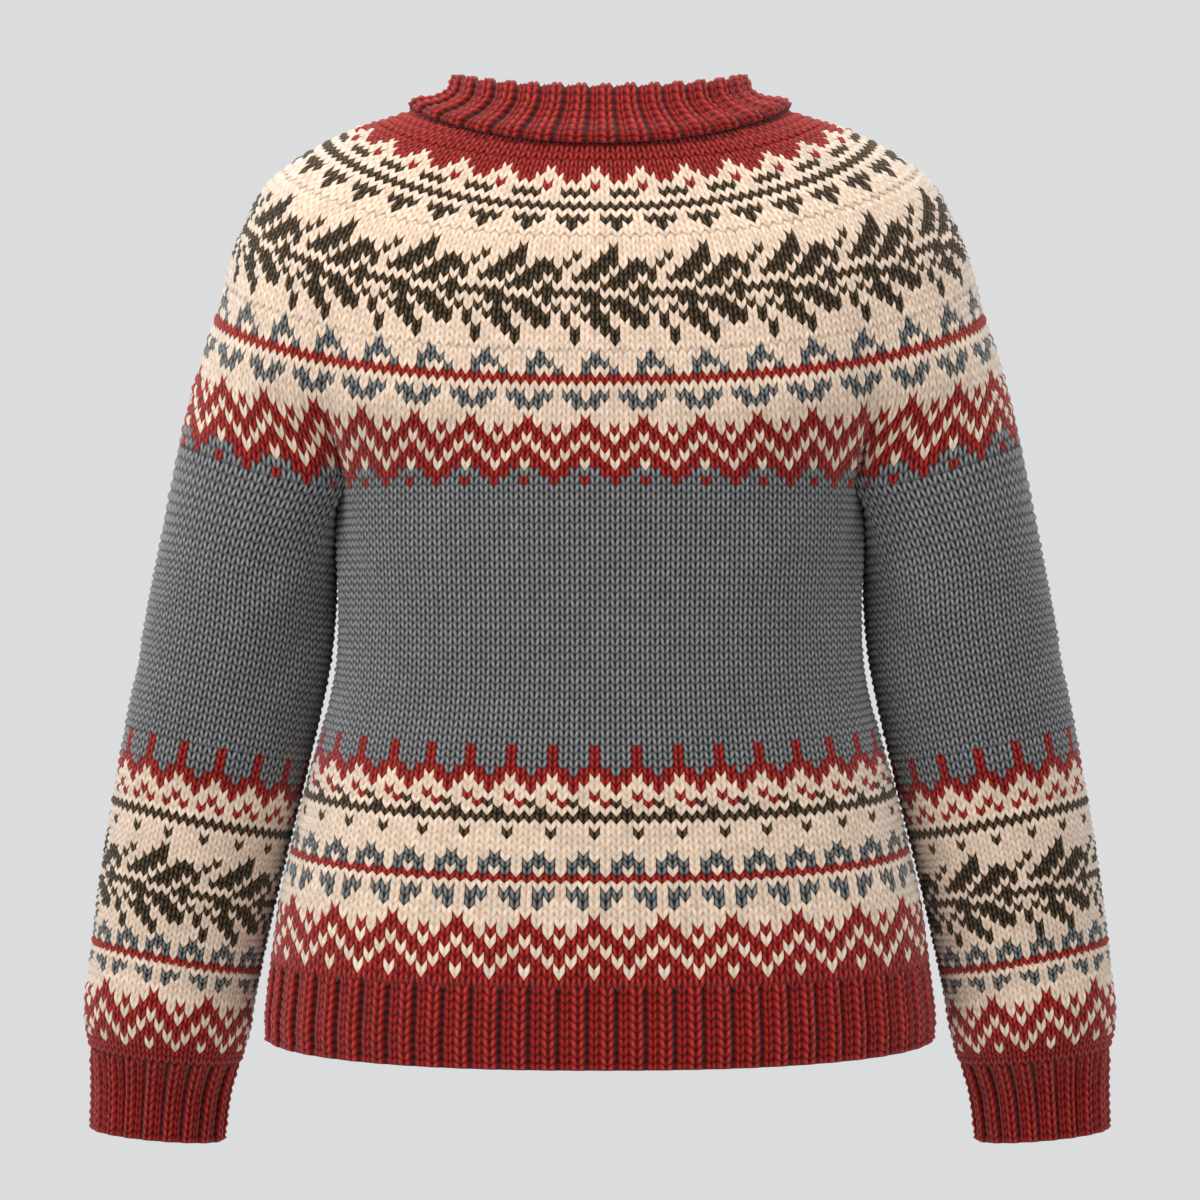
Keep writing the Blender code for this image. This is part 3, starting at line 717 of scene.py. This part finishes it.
def woolMaterial(name, ribbed=False):
    # Yarn colour from the chart with painted shade between the legs, in the holes, furrows and purl columns;
    # twisted plies and fibres along each leg, heathered fleece
    made = bpy.data.materials.new(name)
    made.use_nodes = True
    tree = made.node_tree
    shader = tree.nodes["Principled BSDF"]
    yarn = tree.nodes.new("ShaderNodeVertexColor")
    yarn.layer_name = "yarn"
    knit = tree.nodes.new("ShaderNodeUVMap")
    knit.uv_map = "knit"
    place = tree.nodes.new("ShaderNodeTexCoord").outputs["Object"]
    split = tree.nodes.new("ShaderNodeSeparateXYZ")
    link(tree, knit.outputs["UV"], split.inputs["Vector"])
    u, v = split.outputs["X"], split.outputs["Y"]

    inStitch = maths(tree, "FRACT", u)
    fromMiddle = fromHalf(tree, inStitch, 2.0)
    legSide = fromHalf(tree, fromMiddle, 2.0)
    rowSide = fromHalf(tree, maths(tree, "FRACT", v), 2.0)

    def power(value, name):
        return maths(tree, "POWER", value, wool[name])

    # Painted shade: the colour deepens towards the edges of each leg and of each row, standing in for the
    # shade between them
    deep = maths(tree, "MAXIMUM", power(legSide, "legPower"), power(rowSide, "rowPower"))
    # Painted shade, darkest in the holes where four legs meet
    hole = maths(tree, "MULTIPLY", power(legSide, "holeLegPower"), power(rowSide, "holeRowPower"))
    shade = maths(tree, "MULTIPLY_ADD", deep, wool["valleyShade"], 1.0)
    shade = maths(tree, "MULTIPLY_ADD", hole, wool["hole"], shade)
    if ribbed:
        # Painted shade in the furrow between two ribs
        inRib = maths(tree, "FRACT", maths(tree, "DIVIDE", u, 2.0))
        fromFurrow = maths(tree, "FRACT", maths(tree, "ADD", inRib, 1.5 - wool["furrowAt"]))
        fromFurrow = fromHalf(tree, fromFurrow, wool["furrowFade"])
        furrowShade = maths(tree, "MAXIMUM", maths(tree, "SUBTRACT", 1.0, fromFurrow), 0.0)
        shade = maths(tree, "MULTIPLY_ADD", furrowShade, wool["furrowShade"], shade)
        # Painted shade over the purl columns, which lie deeper than the knit ones
        inPurl = maths(tree, "GREATER_THAN", inRib, 0.5)
        shade = maths(tree, "MULTIPLY_ADD", inPurl, wool["purl"], shade)

    cell = tree.nodes.new("ShaderNodeTexWhiteNoise")
    cell.noise_dimensions = "2D"
    corner = tree.nodes.new("ShaderNodeVectorMath")
    corner.operation = "FLOOR"
    link(tree, knit.outputs["UV"], corner.inputs[0])
    link(tree, corner.outputs[0], cell.inputs["Vector"])
    varies = wool["stitchVaries"]
    each = maths(tree, "MULTIPLY_ADD", cell.outputs["Value"], 2 * varies, 1 - varies)

    fleece = noise(tree, place, wool["fleeceScale"], 3.0)
    fibres = noise(tree, scaled(tree, knit.outputs["UV"], wool["fibresInStitch"]), 1.0, 3.0)
    fine = noise(tree, place, wool["fibreScale"], 2.0)
    heather = maths(tree, "MULTIPLY_ADD", maths(tree, "SUBTRACT", fibres, 0.5), 2 * wool["heather"], 1.0)
    cloud = maths(tree, "MULTIPLY_ADD", maths(tree, "SUBTRACT", fleece, 0.5), wool["heather"], 1.0)
    factor = maths(tree, "MULTIPLY", each, maths(tree, "MULTIPLY", heather, cloud))
    shadow = tree.nodes.new("ShaderNodeGamma")  # painted shade: the yarn's colour deeper and richer between the legs, in the holes, furrows and purl columns
    link(tree, yarn.outputs["Color"], shadow.inputs["Color"])
    link(tree, shade, shadow.inputs["Gamma"])
    colour = tree.nodes.new("ShaderNodeVectorMath")
    colour.operation = "SCALE"
    link(tree, shadow.outputs[0], colour.inputs[0])
    link(tree, factor, colour.inputs["Scale"])
    link(tree, colour.outputs[0], shader.inputs["Base Color"])

    twist = maths(tree, "MULTIPLY", v, wool["pliesPerRow"])
    twist = maths(tree, "MULTIPLY_ADD", fromMiddle, wool["plyLean"], twist)
    ply = maths(tree, "SINE", maths(tree, "MULTIPLY", twist, 2 * math.pi))
    height = maths(tree, "MULTIPLY_ADD", fibres, wool["fibreHeight"], fine)
    height = maths(tree, "MULTIPLY_ADD", ply, wool["plyHeight"], height)
    bump = tree.nodes.new("ShaderNodeBump")
    bump.inputs["Strength"].default_value = wool["bump"]
    bump.inputs["Distance"].default_value = wool["bumpDepth"]
    link(tree, height, bump.inputs["Height"])
    link(tree, bump.outputs["Normal"], shader.inputs["Normal"])
    shader.inputs["Roughness"].default_value = wool["roughness"]
    shader.inputs["Specular IOR Level"].default_value = wool["specular"]
    shader.inputs["Sheen Weight"].default_value = wool["sheen"]
    shader.inputs["Sheen Roughness"].default_value = wool["sheenRoughness"]
    return made


def dress(piece, node):
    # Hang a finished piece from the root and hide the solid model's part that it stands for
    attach(piece, "root")
    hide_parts(node)


patternedWool = woolMaterial("patternedWool")
ribbedWool = woolMaterial("ribbedWool", ribbed=True)

# The body's three panels: both ends as shares of the girth from the centre back, the flat size in metres,
# and the same for the hem beneath, with its ribs
seamShare = garment["seam"] / 2 / garment["girth"]
panels = {
    "back": dict(ends=(-0.25 + seamShare, 0.25 - seamShare),
                 flat=(0.46, 0.315), hemRibs=29, hemFlat=(0.5, 0.055)),
    "front_left": dict(ends=(0.25 + seamShare, 0.5 - 2 * seamShare),
                       flat=(0.235, 0.315), hemRibs=13, hemFlat=(0.25, 0.055)),
    "front_right": dict(ends=(-0.5 + 2 * seamShare, -0.25 - seamShare),
                        flat=(0.235, 0.315), hemRibs=13, hemFlat=(0.25, 0.055)),
}
hemRows = 10


def bodyPanel(name, panel):
    start, end = panel["ends"]
    stitches = round((end - start) * bodyStitches)
    firstStitch = round((start + 0.5) * bodyStitches)
    every = colourRows(bodyChart, bodyStitches)
    colours = every[:, firstStitch:firstStitch + stitches]
    edges = rowEdges(garment["underarm"] / mm, bodyChart)
    strip = knitStrip(bodyPoints, start, end, stitches, edges, colours, 1, soft=foldsOf("body"))
    dress(knitPiece(name + "Knit", [strip], patternedWool), name)


for panelName, panel in panels.items():
    bodyPanel(panelName, panel)

# The yoke's two sheets, with the cloth's area where the flat size narrows
yokeSheets = dict(
    yokeLower=dict(strips=["lowest"], flat=(1.3, 0.09), area=None),
    yokeUpper=dict(strips=["garland", "neck", "top"], flat=(1.15, 0.17), area=0.14),
)


def yokeStrip(name):
    stitches, chart = yokeStrips[name]
    edges = yokeLevel(rowEdges(chart[0][0], chart[1:]))
    reach = 0.5 - garment["seam"] / garment["neckGirth"]
    colours = colourRows(chart, stitches)
    tall = garment["yokeTop"] - garment["underarm"]
    soft = foldsOf("yoke", garment["underarm"], tall) if name == "lowest" else None
    return knitStrip(yokePoints, -reach, reach, stitches, edges, colours, 1, tuck=name != "top",
                     soft=soft)


for sheetName, sheet in yokeSheets.items():
    piece = knitPiece(sheetName, [yokeStrip(name) for name in sheet["strips"]], patternedWool)
    dress(piece, "yoke")

sleeve = dict(flat=(0.36, 0.37), leftLeaves=vines, rightLeaves=garland)  # all leaves point one way


def sleevePiece(name, leaves):
    strips = []
    for stitches, chart in sleeveStrips:
        chart = [(low, origin, leaves if rows is garland else rows) for low, origin, rows in chart]
        edges = rowEdges(chart[0][0], chart[1:])
        colours = colourRows(chart, stitches)
        strips.append(knitStrip(sleevePoints, -0.5, 0.5, stitches, edges, colours, -1, closed=True,
                                soft=foldsOf("sleeve")))
    return knitPiece(name, strips, patternedWool)


sleeveLeft = sleevePiece("sleeveLeftKnit", sleeve["leftLeaves"])
unmirrored = sleevePiece("unmirrored", sleeve["rightLeaves"])
sleeveRight = mirrorPiece(unmirrored, "sleeveRightKnit")
bpy.data.objects.remove(unmirrored, do_unlink=True)
dress(sleeveLeft, "sleeve_left")
dress(sleeveRight, "sleeve_right")


def redRows(rows, stitches):
    return np.tile(yarns["r"], (rows, stitches, 1))


def hemPiece(name, panel):
    ribs = panel["hemRibs"]
    edges = np.linspace(garment["hemBottom"], garment["hemTop"], hemRows + 1)
    strip = knitStrip(bodyPoints, *panel["ends"], ribs, edges, redRows(hemRows, 2 * ribs), 1,
                      stitch=ribStitch, overhang=False, wall=garment["ribWall"])
    dress(knitPiece(name + "Rib", [strip], ribbedWool), name)


for panelName, panel in panels.items():
    hemPiece("hem_" + panelName, panel)

cuff = dict(rows=10, ribs=18, flat=(0.25, 0.056))


def cuffPiece():
    top, bottom = cuffOvals["z"][0] * mm, cuffOvals["z"][-1] * mm
    edges = np.linspace(bottom, top, cuff["rows"] + 1)
    colours = redRows(cuff["rows"], 2 * cuff["ribs"])
    strip = knitStrip(cuffPoints, -0.5, 0.5, cuff["ribs"], edges, colours, -1,
                      stitch=ribStitch, closed=True, overhang=False, wall=garment["ribWall"])
    return knitPiece("cuffLeftRib", [strip], ribbedWool)


cuffLeft = cuffPiece()
cuffRight = mirrorPiece(cuffLeft, "cuffRightRib")
dress(cuffLeft, "cuff_left")
dress(cuffRight, "cuff_right")

band = dict(
    rows=7, ribs=36, flat=(0.62, 0.034), wall=3.0 * mm,
    clear=1.0 * mm, overlap=3.0 * mm, raised=0.5 * mm,  # between the bands, past the opening, off the fronts
)


def bandPiece(name, start, end, lift):
    # Ribs lie across the band. Its rows run from the picked-up edge to the free one
    def surface(places, xs):
        plain = frontPoints(places, xs)
        up = np.gradient(plain, axis=1)
        normal = np.cross(up, [-1.0, 0, 0])
        normal /= np.linalg.norm(normal, axis=2, keepdims=True)
        return plain + normal * lift

    rows = band["rows"]
    edges = np.linspace(start, end, rows + 1)
    turn = 1 if end > start else -1
    strip = knitStrip(surface, 0.0, 1.0, band["ribs"], edges, redRows(rows, 2 * band["ribs"]), turn,
                      stitch=ribStitch, overhang=False, tuck=False, wall=band["wall"])
    dress(knitPiece(name + "Rib", [strip], ribbedWool), name)


# The left band lies beneath, the right one laps over it
half = garment["bandHalf"]
bandPiece("band_left", half, -half, -band["raised"])
bandPiece("band_right", -half - band["overlap"], half, band["wall"] + band["clear"])

collar = dict(
    # Where it folds, in mm
    halfWidth=91.5, back=53.5, front=66, backHeight=20, sideHeight=32.5, frontHeight=-13,
    rows=13, ribs=33, flat=(0.56, 0.075), wall=3.2 * mm, knitWall=2.2 * mm,
    reach=0.905, sideReach=0.935,  # share of the yoke's height that its edge comes down to
    clear=0.6 * mm, flare=1.5 * mm, end=4 * mm, neckLift=2 * mm, belly=1.0 * mm,
    bandReach=46 * mm, bandFade=22 * mm,  # where it rises to clear the bands
    # Its edge and its fold, in shares of the wall
    lipIn=0.4, lipOut=1.15, lipUnder=0.03, lipOver=0.06,
    foldOut=0.7, foldOutDrop=0.3, foldIn=0.8, foldInDrop=0.5,
)


def collarPiece():
    sizes = ("halfWidth", "back", "front", "backHeight", "sideHeight", "frontHeight")
    fold = [collar[k] * mm for k in sizes]
    up = np.array([0, 0, 1.0])

    def path(shares):
        # From the outer edge up over the fold and down inside the neck
        side = np.sin(2 * math.pi * shares)[:, None] ** 2
        laid, above = (yokePoints(shares, np.linspace(collar[k], 1, 4)) for k in ("reach", "sideReach"))
        laid = laid + (above - laid) * side
        sideways = np.gradient(laid, axis=1)
        normals = np.cross(np.gradient(laid, axis=0), sideways)
        normals /= np.linalg.norm(normals, axis=2, keepdims=True)
        top = ringOf(fold, shares, collar["end"])
        nearBand = np.clip((collar["bandReach"] - np.abs(laid[:, :, 0])) / collar["bandFade"], 0, 1)
        nearBand = nearBand * (laid[:, :, 1] < 0)
        bandLift = band["wall"] + band["clear"] + band["raised"]
        lift = collar["clear"] + bandLift * nearBand * nearBand * (3 - 2 * nearBand)
        level = normals[-1] * [1, 1, 0]
        level /= np.linalg.norm(level, axis=1, keepdims=True)
        wall = collar["wall"]
        edge = laid[0] + normals[0] * (lift[0] + collar["flare"])[:, None]
        middle = laid[2] + normals[2] * lift[2][:, None]
        neck = laid[3] + normals[3] * (lift[3] + collar["neckLift"])[:, None]
        return [
            edge + normals[0] * collar["lipIn"] * wall - (middle - edge) * collar["lipUnder"],
            edge + normals[0] * collar["lipOut"] * wall + (middle - edge) * collar["lipOver"],
            middle + normals[2] * (wall + collar["belly"]),
            neck + normals[3] * wall,
            top + level * collar["foldOut"] * wall - up * collar["foldOutDrop"] * wall,
            top - level * collar["foldIn"] * wall - up * collar["foldInDrop"] * wall,
            laid[3] - level * wall + up * garment["seam"],
        ]

    def surface(shares, places):
        line = np.array(path(shares))
        steps = np.linalg.norm(np.diff(line, axis=0), axis=2).mean(axis=1)
        run = np.concatenate([[0], np.cumsum(steps)]) / steps.sum()
        return through(run, line, places)

    rows = collar["rows"]
    edges = np.linspace(0, 1, rows + 1)
    strip = knitStrip(surface, -0.5, 0.5, collar["ribs"], edges, redRows(rows, 2 * collar["ribs"]), 1,
                      stitch=ribStitch, overhang=False, tuck=False, wall=collar["knitWall"])
    return knitPiece("collarRib", [strip], ribbedWool)


dress(collarPiece(), "collar")

button = dict(
    count=7, radius=9.5 * mm, thick=3.6 * mm, rim=1.7 * mm, dish=0.9 * mm, dishTaper=0.92,
    step=1.4 * mm, stepDrop=0.25 * mm, edge=0.55 * mm, hole=0.95 * mm, holes=4, holesApart=4.2 * mm,
    lowest=0.035, highest=0.93,  # share of the band's length
    dark=linear(52, 33, 22), light=linear(112, 78, 52), grain=90, roughness=0.34, coat=0.25,
)


def hornMaterial():
    made = bpy.data.materials.new("horn")
    made.use_nodes = True
    tree = made.node_tree
    shader = tree.nodes["Principled BSDF"]
    place = tree.nodes.new("ShaderNodeTexCoord").outputs["Object"]
    grain = noise(tree, scaled(tree, place, (1.0, 1.0, 4.0)), button["grain"], 4.0)
    ramp = tree.nodes.new("ShaderNodeValToRGB")
    for stop, colour, position in zip(ramp.color_ramp.elements, ("dark", "light"), (0.35, 0.7)):
        stop.color = (*button[colour], 1)
        stop.position = position
    link(tree, grain, ramp.inputs["Fac"])
    link(tree, ramp.outputs["Color"], shader.inputs["Base Color"])
    shader.inputs["Roughness"].default_value = button["roughness"]
    shader.inputs["Coat Weight"].default_value = button["coat"]
    return made


def selectTop(mesh, height):
    bpy.ops.object.mode_set(mode="OBJECT")
    for poly in mesh.polygons:
        poly.select = poly.normal.z > 0.9 and poly.center.z > height
    bpy.ops.object.mode_set(mode="EDIT")


def makeButton(horn):
    bpy.ops.object.select_all(action="DESELECT")
    bpy.ops.mesh.primitive_cylinder_add(vertices=48, radius=button["radius"], depth=button["thick"],
                                        location=(0, 0, button["thick"] / 2))
    made = bpy.context.object
    bpy.ops.object.transform_apply(location=True, rotation=True, scale=True)
    bpy.ops.object.mode_set(mode="EDIT")
    bpy.ops.mesh.select_mode(type="FACE")
    selectTop(made.data, button["thick"] * 0.9)
    bpy.ops.mesh.inset(thickness=button["rim"])
    bpy.ops.mesh.extrude_region_move(TRANSFORM_OT_translate=dict(value=(0, 0, -button["dish"])))
    bpy.ops.transform.resize(value=(button["dishTaper"], button["dishTaper"], 1))
    bpy.ops.mesh.inset(thickness=button["step"])
    bpy.ops.transform.translate(value=(0, 0, -button["stepDrop"]))
    bpy.ops.object.mode_set(mode="OBJECT")
    rounded = made.modifiers.new("rounded", "BEVEL")
    rounded.width = button["edge"]
    rounded.segments = 3
    rounded.limit_method = "ANGLE"
    rounded.angle_limit = math.radians(35)
    bpy.ops.object.modifier_apply(modifier="rounded")
    reach = button["holesApart"] / 2
    for number in range(button["holes"]):
        turn = math.radians(360 * (number + 0.5) / button["holes"])
        bpy.ops.object.select_all(action="DESELECT")
        bpy.ops.mesh.primitive_cylinder_add(
            vertices=16, radius=button["hole"], depth=3 * button["thick"],
            location=(reach * math.cos(turn), reach * math.sin(turn), 0),
        )
        drill = bpy.context.object
        bpy.context.view_layer.objects.active = made
        cut = made.modifiers.new("hole", "BOOLEAN")
        cut.object = drill
        bpy.ops.object.modifier_apply(modifier="hole")
        bpy.data.objects.remove(drill, do_unlink=True)
    made.data.materials.clear()
    made.data.materials.append(horn)
    made.data.shade_smooth()
    made.data.set_sharp_from_angle(angle=math.radians(40))
    return made


buttonModel = makeButton(hornMaterial())
buttonModel.name = "buttonModel"
for number in range(button["count"]):
    share = button["lowest"] + number * (button["highest"] - button["lowest"]) / (button["count"] - 1)
    near = frontPoints(share + np.array([-0.002, 0, 0.002]), [0.0])[0]
    normal = np.cross(near[2] - near[0], [-1, 0, 0])
    normal /= np.linalg.norm(normal)
    lift = band["wall"] + band["clear"] + band["raised"] + 2 * garment["seam"]
    spot = Vector(near[1] + normal * lift)
    made = buttonModel.copy()
    made.data = buttonModel.data.copy()
    made.name = f"buttonHorn{number + 1}"
    tilt = Matrix.Rotation(math.atan2(-normal[1], normal[2]), 4, "X")
    made.data.transform(Matrix.Translation(spot) @ tilt)
    bpy.context.scene.collection.objects.link(made)
    dress(made, f"button_{number + 1}")
bpy.data.objects.remove(buttonModel, do_unlink=True)
print("buttons done")

studio = dict(
    cameraDistance=2.35, cameraHeight=-0.308, frameWidth=0.78, sensor=36,
    floorHeight=-1.1, floorRadius=2.3, floorColour=linear(203, 204, 205),
    roomColour=(0.985, 0.99, 1.0), roomStrength=0.725,
    # Each light: its place, what it points at, its side in metres, its power and its colour
    above=((0.5, 1.2, 2.2), (0, 0, -0.3), 1.3, 46, (1, 0.99, 0.97)),
    side=((1.9, 1.9, 0.7), (0, 0, -0.35), 1.2, 14, (1, 0.99, 0.97)),
    front=((-1.2, -2.0, 1.2), (0, 0, -0.35), 1.6, 18, (1, 1, 1)),
)


def studioFloor():
    # A round pale floor, just below the camera's view. The bright room round it is the background
    bpy.ops.mesh.primitive_circle_add(vertices=96, radius=studio["floorRadius"], fill_type="NGON",
                                      location=(0, 0, studio["floorHeight"]))
    made = bpy.context.object
    made.name = "floor"
    paper = bpy.data.materials.new("paper")
    paper.use_nodes = True
    shader = paper.node_tree.nodes["Principled BSDF"]
    shader.inputs["Base Color"].default_value = (*studio["floorColour"], 1)
    shader.inputs["Roughness"].default_value = 0.9
    made.data.materials.append(paper)


def areaLight(name, place, target, size, power, colour):
    data = bpy.data.lights.new(name, "AREA")
    data.shape = "SQUARE"
    data.size = size
    data.energy = power
    data.color = colour
    made = bpy.data.objects.new(name, data)
    made.location = place
    made.rotation_mode = "QUATERNION"
    made.rotation_quaternion = (Vector(target) - Vector(place)).to_track_quat("-Z", "Y")
    bpy.context.scene.collection.objects.link(made)


def makeStudio():
    studioFloor()
    for name in ("above", "side", "front"):
        areaLight(name, *studio[name])
    world = bpy.data.worlds.new("room")
    bpy.context.scene.world = world
    world.use_nodes = True
    background = world.node_tree.nodes["Background"]
    background.inputs["Color"].default_value = (*studio["roomColour"], 1)
    background.inputs["Strength"].default_value = studio["roomStrength"]
    data = bpy.data.cameras.new("camera")
    data.sensor_width = studio["sensor"]
    data.lens = studio["sensor"] * studio["cameraDistance"] / studio["frameWidth"]
    data.clip_end = 30
    camera = bpy.data.objects.new("camera", data)
    camera.location = (0, studio["cameraDistance"], studio["cameraHeight"])
    camera.rotation_euler = (math.pi / 2, 0, math.pi)
    bpy.context.scene.collection.objects.link(camera)
    bpy.context.scene.camera = camera
    bpy.context.scene.view_settings.view_transform = "Standard"


makeStudio()
print("studio done")
